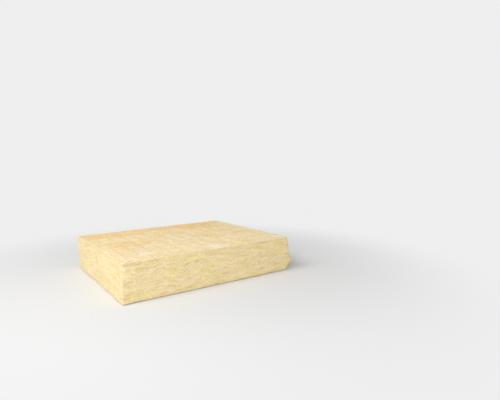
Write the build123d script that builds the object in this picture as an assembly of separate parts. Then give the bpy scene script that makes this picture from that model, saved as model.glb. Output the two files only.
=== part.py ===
from build123d import *
import os

# Mineral wool insulation board, a half length of a standard board, lying on a broad face.
# Millimetres. X runs along the 600 mm width and the pressed ribs, Y along the cut length, Z up.
# The origin is the centre of the underside, at the height of the rib crests it rests on.

# Overall size, measured over the ribs.
board_width = 600.0
board_length = 500.0
board_thickness = 120.0

# Softened edges round the four sawn sides, and the plain border that the oven leaves inside them.
edge_radius = 3.0
plain_border = 5.0

# Ribs pressed into both broad faces by the slotted plates of the curing oven.
rib_crest = 4.0
rib_valley = 3.4
rib_slope = 1.0
rib_height = 1.2

# Joints between the oven plates, which interrupt the ribs across the whole board.
plate_width = 171.0
plate_joint = 7.0
first_joint_from_side = 122.0

# Worked out from the sizes above.
rib_foot = rib_crest + 2 * rib_slope
rib_pitch = rib_foot + rib_valley
ribs_from_side = edge_radius + plain_border


def rib_rows():
    """Places along Y of the ribs that fit between the plain borders."""
    reach = board_length - 2 * ribs_from_side - rib_foot
    count = int(reach // rib_pitch) + 1
    return [(row - (count - 1) / 2) * rib_pitch for row in range(count)]


def plate_joints():
    """Places along X of the joints between the oven plates."""
    places = []
    joint = -board_width / 2 + first_joint_from_side
    while joint < board_width / 2:
        places.append(joint)
        joint += plate_width
    return places


def underside_line():
    """The underside's outline across the ribs, as (y, z) points from the low Y side to the high one."""
    line = [(-board_length / 2, rib_height)]
    for y in rib_rows():
        line += [(y - rib_foot / 2, rib_height), (y - rib_crest / 2, 0.0)]
        line += [(y + rib_crest / 2, 0.0), (y + rib_foot / 2, rib_height)]
    line.append((board_length / 2, rib_height))
    return line


def ribbed_slab():
    """The board with unbroken ribs and sharp edges: its section across the ribs, drawn out along X."""
    below = underside_line()
    above = [(y, board_thickness - z) for y, z in reversed(below)]
    section = make_face(Polyline(*below, *above, close=True))
    return extrude(Plane.YZ.offset(-board_width / 2) * section, board_width)


def break_in_ribs(middle, width):
    """A shallow channel across all ribs of the underside, with walls that slope as the ribs' ends do."""
    floor = width / 2
    mouth = floor + rib_slope
    section = make_face(Polyline((-mouth, 0), (mouth, 0), (floor, rib_height), (-floor, rib_height), close=True))
    return Pos(middle, board_length / 2, 0) * extrude(Plane.XZ * section, board_length)


def underside_breaks():
    """Where the underside has no ribs: at the joints of the oven plates and along the two ends of the ribs."""
    joints = [break_in_ribs(x, plate_joint) for x in plate_joints()]
    borders = [break_in_ribs(x, 2 * ribs_from_side) for x in (-board_width / 2, board_width / 2)]
    return joints + borders


def sawn_edges(board):
    """The edges round the four sawn sides, upright ones included."""
    along_x = board.faces().sort_by(Axis.X)
    along_y = board.faces().sort_by(Axis.Y)
    long_edges = [side.edges().filter_by(Axis.X) for side in (along_y[0], along_y[-1])]
    return along_x[0].edges() + along_x[-1].edges() + long_edges[0] + long_edges[1]


def wool_board():
    """The whole board: the ribbed slab, with the ribs broken and the edges softened."""
    middle_plane = Plane.XY.offset(board_thickness / 2)
    below = underside_breaks()
    above = [mirror(cut, about=middle_plane) for cut in below]
    board = ribbed_slab().cut(*below, *above)
    return fillet(sawn_edges(board), edge_radius)


os.makedirs("parts", exist_ok=True)
board = wool_board()
export_step(board, "parts/wool_board.step")
print("solids", len(board.solids()), "volume", round(board.volume), "size", board.bounding_box().size)
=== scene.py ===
"""Looks of a semi-rigid mineral wool board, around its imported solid.

The board is one piece of felted stone wool. An oven's slotted plates press ribs into both broad faces,
the four sides are sawn and show the crimped layers of the felt, and loose fibres stand out everywhere.
Lengths are in metres, and colours are written as they look on screen.
"""

from __future__ import annotations

import logging
import math
from dataclasses import dataclass, field, replace
from enum import Enum
from typing import Mapping, Sequence, Union

import bpy
from mathutils import Matrix, Vector


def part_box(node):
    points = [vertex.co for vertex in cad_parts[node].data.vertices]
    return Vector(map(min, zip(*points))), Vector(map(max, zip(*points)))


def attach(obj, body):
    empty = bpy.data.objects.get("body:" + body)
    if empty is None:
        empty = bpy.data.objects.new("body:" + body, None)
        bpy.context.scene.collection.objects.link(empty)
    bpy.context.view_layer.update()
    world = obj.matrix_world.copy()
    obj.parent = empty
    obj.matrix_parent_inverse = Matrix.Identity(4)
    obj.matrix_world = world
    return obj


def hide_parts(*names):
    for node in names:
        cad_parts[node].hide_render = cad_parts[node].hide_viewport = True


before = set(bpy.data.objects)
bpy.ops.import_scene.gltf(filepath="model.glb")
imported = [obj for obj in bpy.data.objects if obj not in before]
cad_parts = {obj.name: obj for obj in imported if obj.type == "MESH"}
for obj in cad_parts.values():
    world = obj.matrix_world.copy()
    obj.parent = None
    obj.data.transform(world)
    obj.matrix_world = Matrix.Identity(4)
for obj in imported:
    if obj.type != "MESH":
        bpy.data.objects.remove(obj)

LOG = logging.getLogger("wool_board")
MM = 0.001
PHOTO_WIDTH = 500
BODY = "root"
CAD_NODE = "wool_board"

Rgb = tuple[int, int, int]
Triple = tuple[float, float, float]
Limits = tuple[float, float]
Operand = Union["Wire", float]
Inputs = Mapping[Union[str, int], object]


class Region(Enum):
    """The part of the board's skin that a kind of loose fibre grows on."""

    UPPER = "upper face"
    LOWER = "underside"
    SAWN = "sawn sides"
    EDGE = "edges"
    TORN = "torn end"


def linear(colour: Rgb) -> tuple[float, float, float, float]:
    """A colour as it looks on screen, turned into the linear one that a node takes."""
    parts = [((part / 255 + 0.055) / 1.055) ** 2.4 for part in colour]
    return (parts[0], parts[1], parts[2], 1.0)


def added(name: str, data: bpy.types.ID) -> bpy.types.Object:
    """Makes an object of some data and puts it in the scene.

    Args:
        name: the object's name.
        data: its mesh, light or camera.

    Returns:
        The object.
    """
    made = bpy.data.objects.new(name, data)
    bpy.context.scene.collection.objects.link(made)
    return made


@dataclass(frozen=True)
class Wire:
    """An output socket of a tree, with arithmetic on its values written as in Python."""

    graph: Graph
    socket: bpy.types.NodeSocket

    def __add__(self, other: Operand) -> Wire:
        """The sum of two values."""
        return self.graph.math("ADD", self, other)

    def __sub__(self, other: Operand) -> Wire:
        """This value less another."""
        return self.graph.math("SUBTRACT", self, other)

    def __rsub__(self, other: Operand) -> Wire:
        """Another value less this one."""
        return self.graph.math("SUBTRACT", other, self)

    def __mul__(self, other: Operand) -> Wire:
        """The product of two values."""
        return self.graph.math("MULTIPLY", self, other)

    def __truediv__(self, other: Operand) -> Wire:
        """This value over another."""
        return self.graph.math("DIVIDE", self, other)

    def __rtruediv__(self, other: Operand) -> Wire:
        """Another value over this one."""
        return self.graph.math("DIVIDE", other, self)

    def __pow__(self, other: Operand) -> Wire:
        """This value raised to a power."""
        return self.graph.math("POWER", self, other)

    def __neg__(self) -> Wire:
        """This value with its sign changed."""
        return self.graph.math("MULTIPLY", self, -1.0)

    def __abs__(self) -> Wire:
        """This value without its sign."""
        return self.graph.math("ABSOLUTE", self)

    __radd__ = __add__
    __rmul__ = __mul__

    def held(self, low: Operand, high: Operand) -> Wire:
        """This value held between two limits."""
        return self.graph.smallest(self.graph.largest(self, low), high)

    def above(self, floor: float) -> Wire:
        """This value, which runs from 0 to 1, made to run from a floor to 1."""
        return self * (1 - floor) + floor

    def wrapped(self, period: Operand) -> Wire:
        """How far this value is from the nearest multiple of a period, with its sign."""
        half = period * 0.5
        return self.graph.math("WRAP", self, half, -half)

    def fade(self, none_at: Operand, full_at: Operand) -> Wire:
        """A soft step: 0 where this value is at one limit and 1 at the other, whichever is larger."""
        limits = {"Value": self, "From Min": none_at, "From Max": full_at}
        return self.graph.step("ShaderNodeMapRange", limits, interpolation_type="SMOOTHSTEP")


@dataclass(frozen=True)
class Clumps:
    """A pattern of soft noise, whose value is round 0.5 and mostly from 0.35 to 0.65.

    Attributes:
        size: of a clump along X, Y and Z.
        detail, roughness: how many finer patterns lie on it, and how strong each of them is.
        swirl: how far it is stirred.
        start: moves it along X, Y and Z, so that two patterns differ.
        between: the values between which its patches fade in.
        reach: how far it moves a line or a surface, from its lowest value to its highest.
    """

    size: Triple = (1.0, 1.0, 1.0)
    detail: float = 2.0
    roughness: float = 0.5
    swirl: float = 0.0
    start: Triple = (0.0, 0.0, 0.0)
    between: Limits = (0.0, 1.0)
    reach: float = 0.0


@dataclass(frozen=True)
class Place:
    """Three values of a tree, such as a point of the board, seen from its middle, or half its extents."""

    graph: Graph
    x: Operand
    y: Operand
    z: Operand

    def noise(self, clumps: Clumps) -> Wire:
        """A pattern's value at this point.

        Args:
            clumps: the pattern.

        Returns:
            Its value, round 0.5.
        """
        axes = zip((self.x, self.y, self.z), clumps.size, clumps.start)
        spread = [at / size + start if start else at / size for at, size, start in axes]
        inputs = {
            "Vector": self.graph.point(*spread),
            "Scale": 1.0,
            "Detail": clumps.detail,
            "Roughness": clumps.roughness,
            "Distortion": clumps.swirl,
        }
        return self.graph.step("ShaderNodeTexNoise", inputs, noise_dimensions="3D")

    def patches(self, clumps: Clumps) -> Wire:
        """0 between a pattern's patches and 1 in them."""
        return self.noise(clumps).fade(*clumps.between)

    def swing(self, clumps: Clumps) -> Wire:
        """How far a pattern moves a line or a surface at this point, either way."""
        return (self.noise(clumps) - 0.5) * clumps.reach


class Graph:
    """A node tree under construction: arithmetic is written on its wires, and node() adds the rest."""

    def __init__(self, tree: bpy.types.NodeTree) -> None:
        """Takes the tree to build in."""
        self.tree = tree

    def node(self, kind: str, inputs: Inputs | None = None, **settings: object) -> bpy.types.Node:
        """Adds one node.

        Args:
            kind: the node's type.
            inputs: a value or a link for each socket, by identifier, name or number.
            settings: the node's own properties, which are set first.

        Returns:
            The new node.
        """
        made = self.tree.nodes.new(kind)
        for name, value in settings.items():
            setattr(made, name, value)
        for key, value in (inputs or {}).items():
            self.feed(self.socket(made.inputs, key), value)
        return made

    def step(self, kind: str, inputs: Inputs | None = None, **settings: object) -> Wire:
        """Adds one node, as node() does, and gives its first output."""
        return self.out(self.node(kind, inputs, **settings))

    def socket(self, sockets: Sequence[bpy.types.NodeSocket], key: str | int) -> bpy.types.NodeSocket:
        """The socket of a number, of an identifier or, where no identifier fits, of a name."""
        named = [socket for socket in sockets if socket.name == key and socket.enabled]
        fitting = [socket for socket in sockets if socket.identifier == key] + named
        return sockets[key] if isinstance(key, int) else fitting[0]

    def feed(self, socket: bpy.types.NodeSocket, value: object) -> None:
        """Gives a socket its input: a link where the value is a wire, or else the value."""
        if isinstance(value, Wire):
            self.tree.links.new(value.socket, socket)
        else:
            socket.default_value = value

    def out(self, made: bpy.types.Node, key: str | int = 0) -> Wire:
        """An output of a node, as a wire."""
        return Wire(self, self.socket(made.outputs, key))

    def math(self, operation: str, *operands: Operand) -> Wire:
        """One step of arithmetic on values."""
        return self.step("ShaderNodeMath", dict(enumerate(operands)), operation=operation)

    def vector_math(self, operation: str, *operands: object) -> Wire:
        """One step of arithmetic on vectors."""
        return self.step("ShaderNodeVectorMath", dict(enumerate(operands)), operation=operation)

    def smallest(self, first: Operand, second: Operand) -> Wire:
        """The smaller of two values."""
        return self.math("MINIMUM", first, second)

    def largest(self, first: Operand, second: Operand) -> Wire:
        """The larger of two values."""
        return self.math("MAXIMUM", first, second)

    def point(self, x: Operand, y: Operand, z: Operand) -> Wire:
        """A vector from its three parts."""
        return self.step("ShaderNodeCombineXYZ", {0: x, 1: y, 2: z})

    def parts(self, vector: Wire) -> Place:
        """The three parts of a vector."""
        made = self.node("ShaderNodeSeparateXYZ", {0: vector})
        return Place(self, *(self.out(made, part) for part in range(3)))


class ShaderGraph(Graph):
    """The tree of one material."""

    def __init__(self, name: str) -> None:
        """Makes an empty material of that name."""
        self.material = bpy.data.materials.new(name)
        self.material.use_nodes = True
        super().__init__(self.material.node_tree)
        self.tree.nodes.clear()

    def tinted(self, colour: Wire | Rgb, *tints: tuple[Wire, Wire | Rgb]) -> Wire:
        """Lays tints over a colour, each one over those before it.

        Args:
            colour: the colour below.
            tints: how much of each tint shows, from 0 to 1, and the tint.

        Returns:
            The finished colour.
        """
        for share, tint in tints:
            inputs = {"Factor_Float": share, "A_Color": self._shown(colour), "B_Color": self._shown(tint)}
            colour = self.out(self.node("ShaderNodeMix", inputs, data_type="RGBA"), "Result_Color")
        return colour

    def _shown(self, colour: Wire | Rgb) -> object:
        """A colour in the form that a socket takes."""
        return colour if isinstance(colour, Wire) else linear(colour)

    def attribute(self, name: str) -> Wire:
        """A value that the mesh carries at each point."""
        return self.out(self.node("ShaderNodeAttribute", attribute_name=name), "Fac")

    def place(self) -> Place:
        """The shaded point, in the board's own frame."""
        return self.parts(self.out(self.node("ShaderNodeTexCoord"), "Object"))

    def finish(self, colour: Wire, roughness: Wire, height: Wire, relief: float, sheen: float) -> None:
        """Ends the tree in a matte, slightly downy surface.

        Args:
            colour: its base colour.
            roughness: its roughness.
            height: the fine relief, from 0 to about 1.
            relief: how tall a height of 1 is, in metres.
            sheen: how much light the down catches at a grazing angle.
        """
        bump = self.step("ShaderNodeBump", {"Strength": 1.0, "Distance": relief, "Height": height})
        inputs = {
            "Base Color": colour,
            "Roughness": roughness,
            "Normal": bump,
            "Specular IOR Level": 0.12,
            "Sheen Weight": sheen,
            "Sheen Roughness": 0.6,
        }
        surface = self.step("ShaderNodeBsdfPrincipled", inputs)
        self.node("ShaderNodeOutputMaterial", {"Surface": surface})


class GeometryGraph(Graph):
    """A Geometry Nodes tree with named sizes, which is run once and leaves a plain mesh."""

    def __init__(self, name: str) -> None:
        """Makes an empty tree of that name."""
        super().__init__(bpy.data.node_groups.new(name, "GeometryNodeTree"))
        self.name = name
        self.values: dict[str, float | int] = {}
        self.start = self.node("NodeGroupInput")
        self.tree.interface.new_socket("Geometry", in_out="INPUT", socket_type="NodeSocketGeometry")
        self.tree.interface.new_socket("Geometry", in_out="OUTPUT", socket_type="NodeSocketGeometry")

    def size(self, name: str, value: float | int) -> Wire:
        """Adds a named input of the tree.

        Args:
            name: its name.
            value: what it is set to. Its type is also the socket's.

        Returns:
            The input, as a wire.
        """
        kind = "NodeSocketInt" if isinstance(value, int) else "NodeSocketFloat"
        self.tree.interface.new_socket(name, in_out="INPUT", socket_type=kind)
        self.values[name] = value
        return self.out(self.start, name)

    def given(self) -> Wire:
        """The geometry that the tree starts from."""
        return self.out(self.start, "Geometry")

    def place(self) -> Place:
        """The place of each point."""
        return self.parts(self.step("GeometryNodeInputPosition"))

    def along(self, direction: Wire, distance: Operand) -> Wire:
        """A direction times a distance."""
        return self.step("ShaderNodeVectorMath", {0: direction, "Scale": distance}, operation="SCALE")

    def drawn(self, low: object, high: object, seed: Operand, kind: str = "FLOAT") -> Wire:
        """A random value for each point, the same in each run.

        Args:
            low, high: the limits that it is drawn between.
            seed: fixes the draw.
            kind: the type of the value.

        Returns:
            The value, as a wire.
        """
        suffix = {"FLOAT_VECTOR": "", "FLOAT": "_001", "INT": "_002"}[kind]
        inputs = {"Min" + suffix: low, "Max" + suffix: high, "Seed": seed}
        made = self.node("FunctionNodeRandomValue", inputs, data_type=kind)
        return Wire(self, next(socket for socket in made.outputs if socket.enabled))

    def stored(self, geometry: Wire, name: str, value: Wire, domain: str = "POINT") -> Wire:
        """The geometry with a value kept on it for its finish."""
        inputs = {"Geometry": geometry, "Name": name, "Value": value}
        return self.step("GeometryNodeStoreNamedAttribute", inputs, data_type="FLOAT", domain=domain)

    def kept(self, name: str) -> Wire:
        """A value that was stored on the geometry."""
        return self.step("GeometryNodeInputNamedAttribute", {"Name": name}, data_type="FLOAT")

    def moved(self, geometry: Wire, inputs: Mapping[str, Wire]) -> Wire:
        """The geometry with its points at a new Position, or moved by an Offset."""
        return self.step("GeometryNodeSetPosition", {"Geometry": geometry, **inputs})

    def realized(self, geometry: Wire) -> Wire:
        """The geometry with its instances turned into real meshes."""
        return self.step("GeometryNodeRealizeInstances", {0: geometry})

    def grow(
        self, geometry: Wire, material: bpy.types.Material, source: bpy.types.Mesh
    ) -> bpy.types.Object:
        """Ends the tree, runs it and keeps the result as a plain mesh.

        Args:
            geometry: what the tree has made.
            material: the finish that it wears.
            source: the mesh that the tree starts from.

        Returns:
            The finished object, at the origin, with no modifier.
        """
        inputs = {"Geometry": self.realized(geometry), "Material": material}
        dressed = self.step("GeometryNodeSetMaterial", inputs)
        self.node("NodeGroupOutput", {"Geometry": dressed})
        made = added(self.name, source.copy())
        modifier = made.modifiers.new(self.name, "NODES")
        modifier.node_group = self.tree
        for item in self.tree.interface.items_tree:
            if item.in_out == "INPUT" and item.name in self.values:
                modifier[item.identifier] = self.values[item.name]
        graph = bpy.context.evaluated_depsgraph_get()
        mesh = bpy.data.meshes.new_from_object(
            made.evaluated_get(graph), preserve_all_data_layers=True, depsgraph=graph
        )
        made.modifiers.clear()
        made.data = mesh
        mesh.name = self.name
        return made


@dataclass(frozen=True)
class PressedRibs:
    """The ribs that an oven's slotted plates press into a broad face.

    Attributes:
        pitch: from one rib to the next, along Y.
        crest: the width of a rib's flat top.
        slope: the width of each flank.
        height: from the valleys to the crests.
        row: from one row of ribs to the next, along X.
        rows: rows on one plate.
        joint: X of a joint between two plates.
        gap: the width that a joint keeps free of ribs.
        border: the width along the sides that has no ribs.
        rib_bends, row_bends, joint_bends: how the lines of each wander.
        pressing: where the plates have pressed fully.
        light_press: how much of its height a rib has elsewhere.
        squeezing: where wool is squeezed out along a joint.
        faint_ridge: how much of it there is elsewhere.
        break_sides, ridge_sides, scratch_sides: from the middle of a break between rows, of the squeezed
            ridge and of the scratch beside it, where each one starts and where it is full.
        break_depth: how much of its height a rib loses between two rows.
        ridge_height: of the squeezed ridge, as a share of a rib's height.
        scratch_at: from the middle of the ridge to the scratch.
        flocks: where loose wool has stuck over the ribs.
        thinning: how much less of it there is, for each metre towards the back.
        blur: how much of its height a rib loses under the thickest flock.
    """

    pitch: Operand = 9.4 * MM
    crest: Operand = 4.0 * MM
    slope: Operand = 1.0 * MM
    height: Operand = 1.2 * MM
    row: Operand = 42.75 * MM
    rows: Operand = 4
    joint: Operand = -7.0 * MM
    gap: Operand = 7.0 * MM
    border: Operand = 8.0 * MM
    rib_bends: Clumps = Clumps((0.05, 0.05, 0.05), detail=1.0, reach=3.0 * MM)
    row_bends: Clumps = Clumps((0.05, 0.03, 0.05), reach=7.0 * MM)
    joint_bends: Clumps = Clumps((0.05, 0.06, 0.05), reach=6.0 * MM)
    pressing: Clumps = Clumps((0.03, 0.014, 0.05), between=(0.32, 0.52))
    light_press: float = 0.6
    squeezing: Clumps = Clumps((0.3, 0.03, 1.0), start=(0.0, 0.0, 4.4), between=(0.36, 0.56))
    faint_ridge: float = 0.2
    break_sides: Limits = (4.6 * MM, 1.4 * MM)
    break_depth: float = 0.75
    ridge_sides: Limits = (3.0 * MM, 0.6 * MM)
    ridge_height: float = 0.35
    scratch_sides: Limits = (0.9 * MM, 0.2 * MM)
    scratch_at: float = 2.2 * MM
    flocks: Clumps = Clumps((0.055, 0.048, 0.05), 4.0, 0.6, 0.5, (4.0, 0.0, 0.0), (0.52, 0.74))
    thinning: float = 0.22
    blur: float = 0.55

    def with_inputs(self, graph: GeometryGraph) -> PressedRibs:
        """The same ribs, with their sizes as named inputs of a tree."""
        names = ("pitch", "crest", "slope", "height", "row", "rows", "joint", "gap", "border")
        return replace(self, **{name: graph.size(f"Rib {name}", getattr(self, name)) for name in names})

    def past_joint(self, at: Place) -> Wire:
        """How far a point is from the nearest joint between plates, whose line wanders a little."""
        return (at.x - self.joint + at.swing(self.joint_bends)).wrapped(self.row * self.rows)

    def flock(self, at: Place) -> Wire:
        """How thickly loose wool has stuck over the ribs and blurs them, from 0 to 1."""
        return (at.noise(self.flocks) - at.y * self.thinning).fade(*self.flocks.between)

    def row_break(self, at: Place) -> Wire:
        """1 between two rows of ribs, where they all but end, and 0 within a row."""
        past_row = (at.x - self.joint + at.swing(self.row_bends)).wrapped(self.row)
        return abs(past_row).fade(*self.break_sides)

    def rise(self, at: Place, half: Place, flock: Wire) -> Wire:
        """How much of a rib's height is reached.

        Args:
            at: the place on a broad face.
            half: half the board's extents.
            flock: what flock() gives there.

        Returns:
            0 in the valleys and 1 on a full crest.
        """
        across = abs((at.y + at.swing(self.rib_bends)).wrapped(self.pitch))
        rib = across.fade(self.crest * 0.5 + self.slope, self.crest * 0.5 - self.slope * 0.5)
        mouth = self.gap * 0.5
        open_joint = abs(self.past_joint(at)).fade(mouth - self.slope * 0.5, mouth + self.slope)
        full_row = 1 - self.row_break(at) * self.break_depth
        ends = (half.x - abs(at.x)).fade(self.border, self.border + self.slope)
        last = (half.y - abs(at.y)).fade(self.border, self.border + self.slope)
        press = at.patches(self.pressing).above(self.light_press)
        return rib * open_joint * full_row * ends * last * press * (1 - flock * self.blur)

    def ridge(self, at: Place, past_joint: Wire) -> Wire:
        """The low ridge that squeezes out in places along each joint between plates, from 0 to 1."""
        squeezed = replace(at, z=0.0).patches(self.squeezing).above(self.faint_ridge)
        return abs(past_joint).fade(*self.ridge_sides) * squeezed

    def scratch(self, past_joint: Wire) -> Wire:
        """The thin line that a plate's lip leaves beside that ridge, from 0 to 1."""
        return abs(past_joint - self.scratch_at).fade(*self.scratch_sides)


@dataclass(frozen=True)
class Lenses:
    """One set of the thin lenses that the felt's layers fall into.

    Attributes:
        finer: how many times smaller than the main lenses they are.
        start: moves the pattern, so that two sets differ.
        longer: how many times longer than the main ones they are for their thickness.
        reach: how far they move the surface, from the loosest to the densest.
    """

    finer: float = 1.0
    start: float = 0.0
    longer: float = 1.0
    reach: float = 0.0


@dataclass(frozen=True)
class FeltLayers:
    """The layers of the felt, as the sawn sides show them: thin lenses in crimped waves.

    Attributes:
        thickness: of a main lens, along Z.
        length: of a main lens, along the side.
        grain: the noise that the lenses come from.
        waves: how the layers swing up and down.
        crimps: the tighter folds in them.
        coarse, fine: the lenses that stand proud and sunk.
    """

    thickness: float = 10.0 * MM
    length: float = 64.0 * MM
    grain: Clumps = Clumps(swirl=0.3)
    waves: Clumps = Clumps((0.105, 0.105, 0.09), detail=1.0, reach=32.0 * MM)
    crimps: Clumps = Clumps((0.042, 0.042, 0.03), detail=1.0, start=(9.0, 0.0, 0.0), reach=9.0 * MM)
    coarse: Lenses = Lenses(reach=2.8 * MM)
    fine: Lenses = Lenses(3.0, 7.3, 1.4, reach=2.0 * MM)

    def level(self, at: Place) -> Wire:
        """The height at which a point's layer lay before the felt was crimped."""
        return at.z + at.swing(self.waves) + at.swing(self.crimps)

    def density(self, at: Place, level: Wire, lenses: Lenses) -> Wire:
        """The felt's density in one set of lenses.

        Args:
            at: the place on the board.
            level: what level() gives there.
            lenses: the set of lenses.

        Returns:
            The density, as soft noise round 0.5.
        """
        along = lenses.finer / (self.length * lenses.longer)
        across = lenses.finer / self.thickness
        spread = Place(at.graph, at.x * along + lenses.start, at.y * along, level * across)
        return spread.noise(self.grain)

    def relief(self, at: Place) -> Wire:
        """How far the layers stand proud of a sawn side.

        Args:
            at: the place on it.

        Returns:
            The distance, which is below 0 where they are sunk.
        """
        level = self.level(at)
        coarse = (self.density(at, level, self.coarse) - 0.5) * self.coarse.reach
        fine = (self.density(at, level, self.fine) - 0.5) * self.fine.reach
        return coarse + fine


@dataclass(frozen=True)
class TornEnd:
    """The end at high X: torn back along its lower edge and pulled out in tufts above it.

    Attributes:
        reach: how far in from the end the wool is disturbed.
        bites: where the end is torn back, most of all along the lower edge.
        low_between: the heights, as shares of half the thickness, between which those fade in.
        least_bite: how much of it there is between two bites.
        nibble: how deep the bites are away from that edge.
        tufts: where wool stands out above it.
        tuft_level, tuft_half: the middle of the band of tufts, from the board's, and half its height.
        teeth: the gaps between small teeth of wool on the lower half.
        teeth_between: the heights, from the board's middle, between which they fade in.
        rags: how uneven the whole end is.
        spike: how far the one large tuft stands out, at the front corner.
        spike_level, spike_half: its middle, from the board's middle, and half its height at the root.
        corner: the distances from the front side between which it fades in.
    """

    reach: float = 30.0 * MM
    bites: Clumps = Clumps((0.04, 0.03, 1.0), 2.0, 0.6, 0.0, (0.0, 0.0, 3.1), (0.36, 0.6), 9.0 * MM)
    low_between: Limits = (-0.35, -0.98)
    least_bite: float = 0.3
    nibble: float = 2.5 * MM
    tufts: Clumps = Clumps((0.03, 0.016, 1.0), 2.0, 0.6, 0.0, (0.0, 0.0, 8.7), (0.42, 0.62), 9.0 * MM)
    tuft_level: float = -27.0 * MM
    tuft_half: float = 30.0 * MM
    teeth: Clumps = Clumps((0.019, 0.0078, 1.0), 2.0, 0.6, 0.0, (0.0, 0.0, 12.9), (0.44, 0.58), 4.0 * MM)
    teeth_between: Limits = (22.0 * MM, -12.0 * MM)
    rags: Clumps = Clumps((0.010, 0.009, 1.0), start=(0.0, 0.0, 5.5), reach=12.0 * MM)
    spike: float = 19.5 * MM
    spike_level: float = -24.0 * MM
    spike_half: float = 30.0 * MM
    corner: Limits = (40.0 * MM, 8.0 * MM)

    def share(self, at: Place, half: Place) -> Wire:
        """How much of the loose torn wool a point carries, from 0 to 1."""
        near_end = at.x.fade(half.x - self.reach, half.x - 5.0 * MM)
        return near_end * at.z.fade(half.z * 0.8, half.z * 0.2)

    def pull(self, at: Place, half: Place) -> Wire:
        """How far a point is pulled out.

        Args:
            at: the place on the board.
            half: half the board's extents.

        Returns:
            The distance along X, which is below 0 where the end is torn back.
        """
        end = Place(at.graph, at.y, at.z, 0.0)
        near_end = at.x.fade(half.x - self.reach, half.x)
        low_part = at.z.fade(*(half.z * share for share in self.low_between))
        mid_part = abs(at.z - self.tuft_level).fade(self.tuft_half, 2.0 * MM)
        spike = (1 - abs(at.z - self.spike_level) / self.spike_half).held(0.0, 1.0)
        corner = at.y.fade(*(inwards - half.y for inwards in self.corner))
        bites = end.patches(self.bites)
        teeth = end.patches(self.teeth) * at.z.fade(*self.teeth_between)
        bitten = low_part * bites.above(self.least_bite) * self.bites.reach
        back = bitten + bites * self.nibble + teeth * self.teeth.reach
        tufts = mid_part * end.patches(self.tufts) * self.tufts.reach
        out = at.graph.largest(tufts, spike * corner * self.spike)
        return (out - back + end.swing(self.rags)) * near_end


@dataclass(frozen=True)
class GridLines:
    """Where the lines of the body's grid lie along one axis: even in the middle, closer at the edges.

    Attributes:
        half: half the extent along the axis.
        step: from one line to the next in the middle.
        anchor: a place that has a line.
        edge: lines between the edge and the even ones.
        reach: the least distance from the edge to the even lines.
    """

    half: float
    step: float
    anchor: float = 0.0
    edge: int = 3
    reach: float = 3.0 * MM

    @property
    def first(self) -> int:
        """The number, counted from the anchor, of the lowest even line."""
        return math.ceil((self.reach - self.half - self.anchor) / self.step)

    @property
    def last(self) -> int:
        """The number, counted from the anchor, of the highest even line."""
        return math.floor((self.half - self.reach - self.anchor) / self.step)

    @property
    def count(self) -> int:
        """How many lines there are."""
        return self.last - self.first + 1 + 2 * self.edge

    def place(self, graph: GeometryGraph, name: str, share: Wire) -> Wire:
        """The place of a line.

        Args:
            graph: the tree that works it out.
            name: the axis, for the names of the tree's inputs.
            share: the line's place in an even cube, from -0.5 to 0.5.

        Returns:
            Its place along the axis, in metres.
        """
        step = graph.size(f"{name} line step", self.step)
        number = (share + 0.5) * (self.count - 1) - self.edge + self.first
        even = number.held(self.first, self.last)
        low_step = (self.anchor + self.first * self.step + self.half) / self.edge
        high_step = (self.half - self.anchor - self.last * self.step) / self.edge
        below = graph.largest(self.first - number, 0.0) * low_step
        above = graph.largest(number - self.last, 0.0) * high_step
        return even * step + self.anchor - below + above


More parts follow.
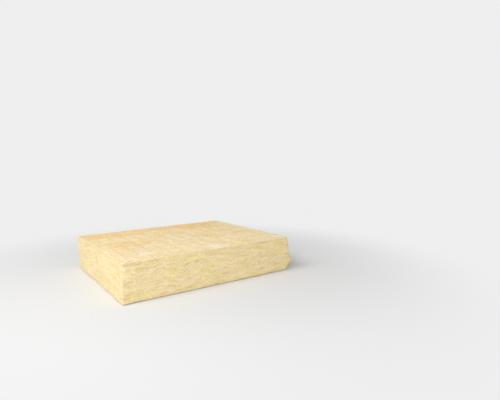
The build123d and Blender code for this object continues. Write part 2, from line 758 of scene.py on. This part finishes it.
@dataclass
class FeltedBody:
    """The whole board as one closed skin: ribbed broad faces, sawn sides, worn edges and one torn end.

    Attributes:
        low, high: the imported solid's corners.
        ribs: the ribs of both broad faces.
        layers: the layers of the felt.
        torn_end: how the end at high X is torn.
        radius: how soft the sawn edges are.
        line_x, line_z: the even step of the grid along X and Z.
        lines_on_rib: lines of the grid on one pitch of the ribs.
        gather: how far the lines along X are drawn to the breaks in the ribs, from 0 to 1.
        gather_between: the distances from the ends between which that sets in.
        pressed_between: how steeply a surface faces up or down where it starts to be pressed and fully is.
        edge_band: how far from an edge the wear reaches.
        headroom: how far loose wool may stand above the top.
        scratch_depth, flock_height: of the scratch beside a joint, and of the thickest flock.
        face_swell, face_lumps: how a broad face is uneven.
        underside: how uneven the underside is, as a share of the top.
        side_swell, side_lumps: how a sawn side is uneven.
        chips, ragged: what the saw and the handling took off the edges.
        spared: how much less the lower edges are worn.
    """

    low: Vector
    high: Vector
    ribs: PressedRibs = PressedRibs()
    layers: FeltLayers = FeltLayers()
    torn_end: TornEnd = TornEnd()
    radius: float = 2.5 * MM
    line_x: float = 4.75 * MM
    line_z: float = 3.8 * MM
    lines_on_rib: int = 5
    gather: float = 0.5
    gather_between: Limits = (4.0 * MM, 20.0 * MM)
    pressed_between: Limits = (0.55, 0.95)
    edge_band: float = 9.0 * MM
    headroom: float = 1.5 * MM
    scratch_depth: float = 0.5 * MM
    flock_height: float = 0.5 * MM
    face_swell: Clumps = Clumps((0.13, 0.13, 0.13), detail=1.0, reach=3.6 * MM)
    face_lumps: Clumps = Clumps((0.011, 0.011, 0.011), reach=1.5 * MM)
    underside: float = 0.25
    side_swell: Clumps = Clumps((0.12, 0.12, 0.08), detail=1.0, reach=4.0 * MM)
    side_lumps: Clumps = Clumps((0.014, 0.014, 0.012), reach=2.6 * MM)
    chips: Clumps = Clumps((0.02, 0.02, 0.02), between=(0.54, 0.68), reach=2.2 * MM)
    ragged: Clumps = Clumps((0.006, 0.006, 0.006), detail=1.0, reach=1.2 * MM)
    spared: float = 0.65

    def build(self, material: bpy.types.Material) -> bpy.types.Object:
        """Makes the body.

        Args:
            material: the finish of the felt.

        Returns:
            The finished mesh object.
        """
        graph = GeometryGraph("felted_body")
        extent = (self.high - self.low) / 2
        slab = extent.z - self.ribs.height
        lines = (
            GridLines(extent.x, self.line_x, self.ribs.joint),
            GridLines(extent.y, self.ribs.pitch / self.lines_on_rib),
            GridLines(slab, self.line_z),
        )
        half = Place(
            graph,
            graph.size("Half width", extent.x),
            graph.size("Half length", extent.y),
            graph.size("Half thickness of the slab", slab),
        )
        ribs = self.ribs.with_inputs(graph)
        box_inputs = {"Size": (1.0, 1.0, 1.0)}
        for axis, line in zip("XYZ", lines):
            box_inputs[f"Vertices {axis}"] = graph.size(f"Lines along {axis}", line.count)
        box = graph.step("GeometryNodeMeshCube", box_inputs)
        share = graph.place()
        at = Place(
            graph,
            self._gathered(lines[0].place(graph, "X", share.x), half.x, ribs),
            lines[1].place(graph, "Y", share.y),
            lines[2].place(graph, "Z", share.z),
        )
        outward, rounded = self._rounded(at, half, graph.size("Edge radius", self.radius))
        pressed = abs(graph.parts(outward).z).fade(*self.pressed_between)
        near_edge = self._from_edge(at, half).fade(self.edge_band, 0.0)
        relief = (
            self._face_relief(at, half, ribs) * pressed
            + self._side_relief(at) * (1 - pressed)
            - self._wear(at) * near_edge
        )
        shaped = graph.vector_math("ADD", rounded, graph.along(outward, relief))
        pull = graph.point(self.torn_end.pull(at, half), 0.0, 0.0)
        pulled = graph.parts(graph.vector_math("ADD", shaped, pull))
        height = (pulled.z + extent.z).held(0.0, 2 * extent.z + self.headroom)
        marked = graph.stored(box, "pressed", pressed)
        marked = graph.stored(marked, "near_edge", near_edge)
        marked = graph.stored(marked, "torn", self.torn_end.share(at, half))
        resting = graph.moved(marked, {"Position": graph.point(pulled.x, pulled.y, height)})
        smooth = graph.step("GeometryNodeSetShadeSmooth", {"Geometry": resting})
        return graph.grow(smooth, material, bpy.data.meshes.new("empty"))

    def _gathered(self, x: Wire, half_x: Wire, ribs: PressedRibs) -> Wire:
        """Draws lines together at the breaks between the rows of ribs, where the shape needs them.

        Args:
            x: the even place of a line along X.
            half_x: half the board's width.
            ribs: the ribs, with their sizes as inputs.

        Returns:
            The place of the line.
        """
        turn = (x - ribs.joint) / ribs.row * math.tau
        pull = x.graph.math("SINE", turn) * ribs.row * (self.gather / math.tau)
        calm = (half_x - abs(x)).fade(*self.gather_between)
        return x - pull * calm

    def _rounded(self, at: Place, half: Place, radius: Wire) -> tuple[Wire, Wire]:
        """Softens the edges of a box.

        Args:
            at: the place on the box.
            half: half its extents.
            radius: how soft its edges become.

        Returns:
            The direction outwards, and the point on the softened box.
        """
        graph = at.graph
        pairs = ((at.x, half.x), (at.y, half.y), (at.z, half.z))
        inner = [part.held(radius - reach, reach - radius) for part, reach in pairs]
        beyond = [part - core for (part, _), core in zip(pairs, inner)]
        outward = graph.vector_math("NORMALIZE", graph.point(*beyond))
        return outward, graph.vector_math("ADD", graph.point(*inner), graph.along(outward, radius))

    def _from_edge(self, at: Place, half: Place) -> Wire:
        """The distance along the surface to the nearest edge.

        Args:
            at: the place on the box.
            half: half its extents.

        Returns:
            The middle one of the distances to the three nearest sides.
        """
        to_x, to_y, to_z = half.x - abs(at.x), half.y - abs(at.y), half.z - abs(at.z)
        lower = at.graph.smallest(to_x, to_y)
        upper = at.graph.largest(to_x, to_y)
        return at.graph.largest(lower, at.graph.smallest(upper, to_z))

    def _face_relief(self, at: Place, half: Place, ribs: PressedRibs) -> Wire:
        """The ribs, joints, flocks and lumps of a pressed face. The underside lies flatter than the top.

        Args:
            at: the place on the box.
            half: half its extents.
            ribs: the ribs, with their sizes as inputs.

        Returns:
            How far the surface stands proud.
        """
        flock = ribs.flock(at)
        rise = ribs.rise(at, half, flock) * ribs.height
        past_joint = ribs.past_joint(at)
        ridge = ribs.ridge(at, past_joint) * (ribs.height * ribs.ridge_height)
        scratch = ribs.scratch(past_joint) * self.scratch_depth
        uneven = at.swing(self.face_swell) + at.swing(self.face_lumps) + flock * self.flock_height
        on_top = at.z.fade(-10.0 * MM, 10.0 * MM)
        return at.graph.largest(rise, ridge) - scratch + uneven * on_top.above(self.underside)

    def _side_relief(self, at: Place) -> Wire:
        """How far a sawn side stands proud, with its layers and lumps."""
        return self.layers.relief(at) + at.swing(self.side_lumps) + at.swing(self.side_swell)

    def _wear(self, at: Place) -> Wire:
        """How far the saw and the handling have worn the edges down, which is less at the lower ones."""
        worn = at.patches(self.chips) * self.chips.reach + at.noise(self.ragged) * self.ragged.reach
        return worn * (1 - at.z.fade(-20.0 * MM, -50.0 * MM) * self.spared)


@dataclass(frozen=True)
class FeltFinish:
    """The felt's finish: pale crests and valleys browner with binder and painted shade where it is
    pressed, streaks where it is sawn.

    Attributes:
        ribs, layers: the ribs and layers that the colours follow.
        half: half the board's extents.
        crest to scratch: colours of a broad face; the valley colour carries painted shade between the ribs
            as well as binder.
        straw to dark_rind: colours of a sawn side.
        dusk, shot: the shade between fibres, and the specks of slag among them.
        mottle, grain: the soft and the fine unevenness of the whole felt.
        hairs: the noise whose middle line makes thin curling hairs.
        binder_clouds, binder_rows: where more binder has cured brown, in clouds and along the rows.
        browning: how much more of it there is, for each metre towards the back.
        tawny_patches: where a sawn side is tawny.
        thread, ashen, seam: the lenses of its finest streaks, its ash patches and its folds.
    """

    ribs: PressedRibs
    layers: FeltLayers
    half: Vector
    crest: Rgb = (255, 240, 201)
    tan_crest: Rgb = (253, 214, 143)
    valley_binder_and_shade: Rgb = (213, 180, 127)
    brown_valley: Rgb = (207, 154, 74)
    break_tan: Rgb = (234, 205, 152)
    border: Rgb = (254, 239, 201)
    flock: Rgb = (242, 223, 193)
    white_flock: Rgb = (252, 243, 228)
    scratch: Rgb = (182, 152, 104)
    straw: Rgb = (241, 223, 146)
    tawny: Rgb = (248, 217, 171)
    cream: Rgb = (253, 239, 192)
    ash: Rgb = (243, 222, 199)
    olive: Rgb = (232, 206, 129)
    rind: Rgb = (235, 203, 146)
    dark_rind: Rgb = (214, 182, 124)
    dusk: Rgb = (206, 184, 136)
    shot: Rgb = (170, 142, 96)
    mottle: Clumps = Clumps((0.009, 0.009, 0.004), 3.0, 0.65, 0.5)
    grain: Clumps = Clumps((0.0034, 0.0034, 0.0022), 3.0, 0.6, 0.8)
    hairs: Clumps = Clumps((0.0075, 0.0075, 0.0024), 1.0, 0.5, 1.6)
    binder_clouds: Clumps = Clumps((0.21, 0.19, 0.05), 3.0, 0.5, 0.4, between=(0.42, 0.63))
    binder_rows: Clumps = Clumps((1.0, 0.10, 0.12), roughness=0.6, start=(0.0, 2.0, 0.0))
    browning: float = 0.36
    tawny_patches: Clumps = Clumps((0.075, 0.075, 0.034), start=(3.0, 0.0, 0.0), between=(0.43, 0.59))
    thread: Lenses = Lenses(7.5, 2.9, 2.6)
    ashen: Lenses = Lenses(0.95, 18.4, 1.2)
    seam: Lenses = Lenses(0.95, 21.7)

    def material(self) -> bpy.types.Material:
        """Makes the material.

        Returns:
            The material of the felted body.
        """
        graph = ShaderGraph("felted_stone_wool")
        at = graph.place()
        at = replace(at, z=at.z - self.half.z)
        pressed = graph.attribute("pressed").fade(0.25, 0.75)
        mottle = at.noise(self.mottle)
        grain = at.noise(self.grain)
        hairs = self._hairs(at, 0.0)
        # Thin curling lines of painted shade between fibres, laid in the colour dusk.
        hair_shade_lines = self._hairs(at, 5.7)
        face_colour, face_height = self._pressed_face(at, mottle)
        side_colour, side_height = self._sawn_side(at)
        colour = graph.tinted(
            side_colour,
            (pressed, face_colour),
            (mottle.fade(0.46, 0.64) * 0.2, self.cream),
            (mottle.fade(0.54, 0.36) * 0.2, self.olive),
            (grain.fade(0.5, 0.63) * 0.62, self.cream),
            # The lows of the grain and the hair lines below take painted shade between fibres.
            (grain.fade(0.5, 0.36) * (0.64 - pressed * 0.28), self.dusk),
            (grain.fade(0.665, 0.70) * 0.7, self.shot),
            (hair_shade_lines * (0.16 - pressed * 0.1), self.dusk),
            (hairs * 0.3, self.cream),
        )
        height = face_height * pressed + side_height * (1 - pressed)
        height = height + mottle * 0.9 + grain * 0.7 + hairs * 0.2
        roughness = 0.98 - mottle.fade(0.4, 0.7) * pressed * 0.12
        graph.finish(colour, roughness, height, relief=0.9 * MM, sheen=0.12)
        return graph.material

    def _hairs(self, at: Place, start: float) -> Wire:
        """1 on thin curling lines that run mostly level, as single fibres do, and 0 between them."""
        curls = at.noise(replace(self.hairs, start=(start, 0.0, start)))
        return abs(curls - 0.5).fade(0.036, 0.0)

    def _pressed_face(self, at: Place, mottle: Wire) -> tuple[Wire, Wire]:
        """Finishes a broad face.

        Args:
            at: the place on it.
            mottle: the soft unevenness of the felt there.

        Returns:
            Its colour and its fine relief.
        """
        graph = at.graph
        flock = self.ribs.flock(at)
        rise = self.ribs.rise(at, Place(graph, *self.half), flock)
        past_joint = self.ribs.past_joint(at)
        binder = self._binder(at)
        row_break = self.ribs.row_break(at)
        # The valley colour is partly binder and partly painted shade between the ribs.
        valley_binder_and_shade = graph.tinted(self.valley_binder_and_shade, (binder, self.brown_valley), (row_break * 0.75, self.break_tan))
        crest = graph.tinted(self.crest, (binder, self.tan_crest))
        from_side = graph.smallest(self.half.x - abs(at.x), self.half.y - abs(at.y))
        border = from_side.fade(self.ribs.border + 1.0 * MM, self.ribs.border - 2.0 * MM)
        joint = abs(past_joint).fade(self.ribs.gap * 0.5 + 0.5 * MM, self.ribs.gap * 0.5 - 1.0 * MM)
        colour = graph.tinted(
            valley_binder_and_shade,
            (rise.fade(0.15, 0.75), crest),
            (border * 0.75, self.border),
            (joint * 0.7, self.break_tan),
            (self.ribs.ridge(at, past_joint) * 0.6, self.border),
            (self.ribs.scratch(past_joint) * 0.65, self.scratch),
            (flock.fade(0.0, 0.55) * 0.72, self.flock),
            (flock.fade(0.4, 1.0) * 0.6, self.white_flock),
        )
        return colour, rise * 0.5 + flock * mottle * 1.5

    def _binder(self, at: Place) -> Wire:
        """Where more binder has cured brown, in clouds that partly follow the rows of ribs.

        Args:
            at: the place on a broad face.

        Returns:
            0 where the felt is pale and 1 where it is brown.
        """
        row_number = at.graph.math("FLOOR", (at.x - self.ribs.joint) / self.ribs.row)
        clouds = at.noise(self.binder_clouds)
        in_rows = Place(at.graph, row_number * 3.7, at.y, at.x).noise(self.binder_rows)
        brown = clouds * 0.7 + in_rows * 0.3 + at.y * self.browning
        return brown.fade(*self.binder_clouds.between)

    def _sawn_side(self, at: Place) -> tuple[Wire, Wire]:
        """Finishes a sawn side.

        Args:
            at: the place on it.

        Returns:
            Its colour and its fine relief.
        """
        graph = at.graph
        level = self.layers.level(at)
        sets = (self.layers.coarse, self.layers.fine, self.thread, self.ashen, self.seam)
        coarse, fine, thread, ashen, seam = (self.layers.density(at, level, lenses) for lenses in sets)
        fold = abs(seam - 0.5).fade(0.012, 0.0) * coarse.fade(0.5, 0.4)
        below_skin = self.half.z - abs(at.z)
        colour = graph.tinted(
            self.straw,
            (at.patches(self.tawny_patches), self.tawny),
            (coarse.fade(0.46, 0.60) * 0.75, self.cream),
            (coarse.fade(0.49, 0.38) * 0.75, self.olive),
            (ashen.fade(0.54, 0.60) * 0.9, self.ash),
            (fine.fade(0.55, 0.66) * 0.45, self.cream),
            (fine.fade(0.46, 0.36) * 0.5, self.olive),
            (thread.fade(0.5, 0.62) * 0.35, self.cream),
            # The lows of the finest streaks take painted shade between fibres.
            (thread.fade(0.46, 0.34) * 0.32, self.dusk),
            (fold * 0.5, self.shot),
            (below_skin.fade(20.0 * MM, 4.0 * MM) * 0.35, self.rind),
            (below_skin.fade(6.5 * MM, 2.5 * MM) * (at.z * 4.5 + 0.36), self.dark_rind),
        )
        return colour, thread * 0.8 + fine * 0.6 - fold * 0.4


@dataclass(frozen=True)
class FibreFinish:
    """The finish of loose fibres: each one a little paler, yellower or greyer than the next.

    Attributes:
        pale, straw, ash: the colours of single fibres.
        speckle: the unevenness along them.
    """

    pale: Rgb = (252, 240, 204)
    straw: Rgb = (230, 208, 154)
    ash: Rgb = (222, 208, 182)
    speckle: Clumps = Clumps((0.004, 0.004, 0.004))

    def material(self) -> bpy.types.Material:
        """Makes the material.

        Returns:
            The material of every loose fibre.
        """
        graph = ShaderGraph("loose_fibres")
        tint = graph.attribute("tint")
        speckle = graph.place().noise(self.speckle)
        colour = graph.tinted(
            self.straw,
            (tint.fade(0.1, 0.8), self.pale),
            (tint.fade(0.85, 1.0), self.ash),
            (speckle.fade(0.5, 0.65) * 0.4, self.straw),
        )
        graph.finish(colour, 0.95 - speckle * 0.1, speckle, relief=0.05 * MM, sheen=0.1)
        return graph.material


@dataclass(frozen=True)
class LooseFibres:
    """One scatter of loose fibre bundles on the body.

    Attributes:
        name: the piece's name.
        region: where they grow.
        per_square_metre: how close they lie.
        length, thickness: of a bundle.
        curl: how far a bundle bends from straight, as a share of its length.
        stray: the largest angle between a bundle and the layers, in radians.
        lift: the largest angle between a bundle and the surface, in radians.
        seed: fixes the random draws.
        kinds: how many different bundles there are.
        points, sides: along one bundle, and round it.
        tip: how thick its ends are, as a share of its middle.
        least, most: the limits of a bundle's scale, along it and across it.
        bends, bending: how many clumps of noise bend one bundle, and the noise.
    """

    name: str
    region: Region
    per_square_metre: float
    length: float
    thickness: float
    curl: float
    stray: float
    lift: float
    seed: int
    kinds: int = 8
    points: int = 6
    sides: int = 3
    tip: float = 0.25
    least: Triple = (0.45, 0.8, 0.8)
    most: Triple = (1.4, 1.3, 1.3)
    bends: float = 2.2
    bending: Clumps = Clumps(detail=1.0)

    def build(self, body: bpy.types.Object, material: bpy.types.Material) -> bpy.types.Object:
        """Scatters the fibres.

        Args:
            body: the board that they lie on.
            material: their finish.

        Returns:
            The finished mesh object.
        """
        graph = GeometryGraph(self.name)
        seed = graph.size("Seed", self.seed)
        length = graph.size("Length", self.length)
        thickness = graph.size("Thickness", self.thickness)
        density = graph.size("Per square metre", self.per_square_metre) * self._share(graph)
        ground = {"Mesh": graph.given(), "Density": density, "Seed": seed}
        scatter = graph.node("GeometryNodeDistributePointsOnFaces", ground, distribute_method="RANDOM")
        bundles = graph.node("GeometryNodeJoinGeometry")
        for kind in range(self.kinds):
            graph.feed(bundles.inputs[0], self._bundle(graph, kind, length, thickness))
        laid = {
            "Points": graph.out(scatter, "Points"),
            "Instance": graph.out(bundles),
            "Pick Instance": True,
            "Instance Index": graph.drawn(0, self.kinds - 1, seed + 1, "INT"),
            "Rotation": self._laid(graph, graph.out(scatter, "Normal"), seed),
            "Scale": graph.drawn(self.least, self.most, seed + 2, "FLOAT_VECTOR"),
        }
        spread = graph.step("GeometryNodeInstanceOnPoints", laid)
        tinted = graph.stored(spread, "tint", graph.drawn(0.0, 1.0, seed + 3), "INSTANCE")
        at = graph.place()
        above_floor = graph.point(at.x, at.y, graph.largest(at.z, 0.1 * MM))
        resting = graph.moved(graph.realized(tinted), {"Position": above_floor})
        return graph.grow(resting, material, body.data)

    def _share(self, graph: GeometryGraph) -> Wire:
        """The share of the full density at each point of the body.

        Args:
            graph: the tree that scatters the fibres.

        Returns:
            0 where none grow and up to 1 where they are closest.
        """
        pressed = graph.kept("pressed")
        torn = graph.kept("torn")
        near_edge = graph.kept("near_edge")
        up = graph.parts(graph.step("GeometryNodeInputNormal")).z
        if self.region is Region.UPPER:
            return pressed * up.fade(0.2, 0.4)
        if self.region is Region.LOWER:
            return pressed * up.fade(-0.2, -0.4)
        if self.region is Region.SAWN:
            return (1 - pressed) * (1 - torn * 0.85) * (1 - near_edge * 0.9)
        if self.region is Region.TORN:
            return (1 - pressed) * torn
        return near_edge ** 2.0

    def _laid(self, graph: GeometryGraph, outward: Wire, seed: Wire) -> Wire:
        """Turns each bundle: its Z outwards, its X near the layers, and then up by an angle of its own.

        Args:
            graph: the tree that scatters the fibres.
            outward: the body's normal at each bundle.
            seed: fixes the random draws.

        Returns:
            The rotation of each bundle.
        """
        aligned = "FunctionNodeAlignRotationToVector"
        flat = graph.step(aligned, {"Vector": outward}, axis="Z")
        grain = graph.vector_math("CROSS_PRODUCT", (0.0, 0.0, 1.0), outward)
        along = graph.step(aligned, {"Rotation": flat, "Vector": grain}, axis="X", pivot_axis="Z")
        turn = graph.drawn(-self.stray, self.stray, seed + 4)
        rise = graph.drawn(-self.lift, self.lift * 0.1, seed + 5)
        own = graph.step("FunctionNodeEulerToRotation", {0: graph.point(0.0, rise, turn)})
        inputs = {"Rotation": along, "Rotate By": own}
        return graph.step("FunctionNodeRotateRotation", inputs, rotation_space="LOCAL")

    def _bundle(self, graph: GeometryGraph, kind: int, length: Wire, thickness: Wire) -> Wire:
        """One bundle of fibres along X, bent in its own way.

        Args:
            graph: the tree that scatters the fibres.
            kind: which of the bundles it is, from 0.
            length, thickness: its sizes.

        Returns:
            The bundle, as an instance.
        """
        start, end = (graph.point(length * place, 0.0, 0.0) for place in (-0.3, 0.7))
        line = graph.step("GeometryNodeCurvePrimitiveLine", {"Start": start, "End": end})
        points = graph.step("GeometryNodeResampleCurve", {"Curve": line, "Count": self.points})
        share = graph.out(graph.node("GeometryNodeSplineParameter"), "Factor")
        along = share * self.bends
        bend = Place(graph, along, kind * 3.7 + self.seed, 0.5).noise(self.bending) - 0.5
        hump = Place(graph, along, kind * 5.1 + self.seed, 9.5).noise(self.bending) - 0.5
        offset = graph.point(0.0, bend * length * (self.curl * 3.0), hump * length * self.curl)
        bent = graph.moved(points, {"Offset": offset})
        taper = abs(share - 0.5).fade(0.5, 0.2).above(self.tip)
        sized = graph.step("GeometryNodeSetCurveRadius", {"Curve": bent, "Radius": taper})
        outline = {"Resolution": self.sides, "Radius": thickness * 0.5}
        ring = graph.step("GeometryNodeCurvePrimitiveCircle", outline, mode="RADIUS")
        sweep = {"Curve": sized, "Profile Curve": ring, "Fill Caps": True}
        tube = graph.step("GeometryNodeCurveToMesh", sweep)
        return graph.step("GeometryNodeGeometryToInstance", {0: tube})


def fibre_scatters() -> tuple[LooseFibres, ...]:
    """The loose fibres of the whole board."""
    return (
        LooseFibres("upper_fibres", Region.UPPER, 11000, 9 * MM, 0.22 * MM, 0.5, math.pi, 0.20, 11),
        LooseFibres("lower_fibres", Region.LOWER, 6000, 9 * MM, 0.22 * MM, 0.5, math.pi, 0.10, 23),
        LooseFibres("sawn_strands", Region.SAWN, 21000, 13 * MM, 0.26 * MM, 0.22, 0.40, 0.12, 37),
        LooseFibres("sawn_curls", Region.SAWN, 20000, 7 * MM, 0.22 * MM, 0.6, 1.40, 0.45, 41),
        LooseFibres("edge_fibres", Region.EDGE, 60000, 6 * MM, 0.22 * MM, 0.5, math.pi, 0.70, 53),
        LooseFibres("torn_tufts", Region.TORN, 45000, 11 * MM, 0.28 * MM, 0.5, math.pi, 0.80, 67),
    )


@dataclass
class WoolBoard:
    """The dressed board: its felted body and the loose fibres on it.

    Attributes:
        low, high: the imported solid's corners.
        scatters: the loose fibres.
    """

    low: Vector
    high: Vector
    scatters: Sequence[LooseFibres] = field(default_factory=fibre_scatters)

    def build(self) -> list[bpy.types.Object]:
        """Makes and dresses every piece.

        Returns:
            The pieces, the body first.
        """
        body = FeltedBody(self.low, self.high)
        skin = body.build(FeltFinish(body.ribs, body.layers, (self.high - self.low) / 2).material())
        loose = FibreFinish().material()
        return [skin] + [scatter.build(skin, loose) for scatter in self.scatters]


@dataclass(frozen=True)
class PhotoCamera:
    """The camera that was fitted to the board's edges in the photograph.

    Attributes:
        place: where it stands, in the board's frame.
        yaw: from +Y towards +X, in degrees.
        pitch: downwards, in degrees.
        roll: clockwise, in degrees.
        focal_pixels: the focal length, in pixels of the photograph.
        sensor: the sensor's width, in millimetres.
    """

    place: Triple = (-0.638, -1.338, 0.404)
    yaw: float = 35.34
    pitch: float = 6.03
    roll: float = 0.65
    focal_pixels: float = 406.6
    sensor: float = 36.0

    def build(self) -> None:
        """Makes the scene's camera."""
        data = bpy.data.cameras.new("photo_camera")
        data.sensor_width = self.sensor
        data.lens = self.focal_pixels / PHOTO_WIDTH * self.sensor
        data.clip_start = 0.05
        data.clip_end = 100.0
        made = added("photo_camera", data)
        yaw, pitch, roll = (math.radians(angle) for angle in (self.yaw, self.pitch, self.roll))
        level = math.cos(pitch)
        ahead = Vector((math.sin(yaw) * level, math.cos(yaw) * level, -math.sin(pitch)))
        level_right = Vector((math.cos(yaw), -math.sin(yaw), 0.0))
        level_down = ahead.cross(level_right)
        right = level_right * math.cos(roll) + level_down * math.sin(roll)
        up = level_right * math.sin(roll) - level_down * math.cos(roll)
        turn = Matrix((right, up, -ahead)).transposed()
        made.matrix_world = Matrix.Translation(self.place) @ turn.to_4x4()
        bpy.context.scene.camera = made


@dataclass(frozen=True)
class Lamp:
    """A square soft lamp that faces the board.

    Attributes:
        name: its name.
        place: where it hangs.
        size: the length of its side.
        power: in watts.
        aim: the point that it faces.
    """

    name: str
    place: Triple
    size: float
    power: float
    aim: Triple = (0.0, 0.0, 0.06)

    def build(self) -> None:
        """Hangs the lamp."""
        data = bpy.data.lights.new(self.name, "AREA")
        data.shape = "SQUARE"
        data.size = self.size
        data.energy = self.power
        made = added(self.name, data)
        made.location = self.place
        towards = Vector(self.aim) - made.location
        made.rotation_euler = towards.to_track_quat("-Z", "Y").to_euler()


@dataclass(frozen=True)
class Studio:
    """A pale floor without an end, soft daylight all round and brighter light from the left.

    Attributes:
        floor_radius: of the round floor.
        floor_sides: how many sides it has.
        floor_grey: how pale it is.
        near, far: between these distances the floor turns into the plain background.
        background: how bright the background shows.
        ambient: how bright the light from all round is.
        lamps: the soft lamps.
    """

    floor_radius: float = 25.0
    floor_sides: int = 96
    floor_grey: float = 0.75
    near: float = 0.36
    far: float = 1.1
    background: float = 0.86
    ambient: float = 0.50
    lamps: Sequence[Lamp] = (
        Lamp("window_lamp", (-1.9, -0.2, 2.1), 1.4, 36.0),
        Lamp("front_lamp", (-1.5, -2.0, 1.2), 1.2, 33.0),
    )

    def build(self) -> None:
        """Makes the floor, the world and the lamps."""
        self._floor()
        self._world()
        for lamp in self.lamps:
            lamp.build()

    def _floor(self) -> None:
        """A round floor, fading into the background."""
        turns = [math.tau * side / self.floor_sides for side in range(self.floor_sides)]
        reach = self.floor_radius
        rim = [(reach * math.cos(turn), reach * math.sin(turn), 0.0) for turn in turns]
        mesh = bpy.data.meshes.new("floor")
        mesh.from_pydata(rim, [], [tuple(range(self.floor_sides))])
        made = added("floor", mesh)
        graph = ShaderGraph("pale_floor")
        at = graph.place()
        distance = (at.x * at.x + at.y * at.y) ** 0.5
        grey = self.floor_grey
        matte = graph.step("ShaderNodeBsdfDiffuse", {"Color": (grey, grey, grey, 1.0)})
        plain = graph.step("ShaderNodeEmission", {"Strength": self.background})
        seen = graph.out(graph.node("ShaderNodeLightPath"), "Is Camera Ray")
        share = distance.fade(self.near, self.far) * seen
        mix = graph.step("ShaderNodeMixShader", {0: share, 1: matte, 2: plain})
        graph.node("ShaderNodeOutputMaterial", {"Surface": mix})
        mesh.materials.append(graph.material)

    def _world(self) -> None:
        """Even light all round, and a plain pale background to the camera."""
        world = bpy.data.worlds.new("soft_daylight")
        world.use_nodes = True
        graph = Graph(world.node_tree)
        graph.tree.nodes.clear()
        path = graph.node("ShaderNodeLightPath")
        rays = ("Is Camera Ray", "Is Glossy Ray", "Is Transmission Ray")
        camera, glossy, clear = (graph.out(path, ray) for ray in rays)
        seen = graph.largest(camera, graph.largest(glossy, clear))
        light, backdrop = (
            graph.step("ShaderNodeBackground", {"Color": (1.0, 1.0, 1.0, 1.0), "Strength": strength})
            for strength in (self.ambient, self.background)
        )
        mix = graph.step("ShaderNodeMixShader", {0: seen, 1: light, 2: backdrop})
        graph.node("ShaderNodeOutputWorld", {"Surface": mix})
        bpy.context.scene.world = world


def triangles(mesh: bpy.types.Mesh) -> int:
    """How many triangles a mesh comes to."""
    return sum(face.loop_total - 2 for face in mesh.polygons)


def main() -> None:
    """Builds the studio and the board, and puts every piece on the board's body."""
    logging.basicConfig(level=logging.INFO, format="%(name)s: %(message)s")
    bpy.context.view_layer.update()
    bpy.context.scene.view_settings.view_transform = "Standard"
    PhotoCamera().build()
    Studio().build()
    low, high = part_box(CAD_NODE)
    pieces = WoolBoard(low, high).build()
    for piece in pieces:
        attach(piece, BODY)
        LOG.info("%s: %d triangles", piece.name, triangles(piece.data))
    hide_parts(CAD_NODE)


if __name__ == "__main__":
    main()
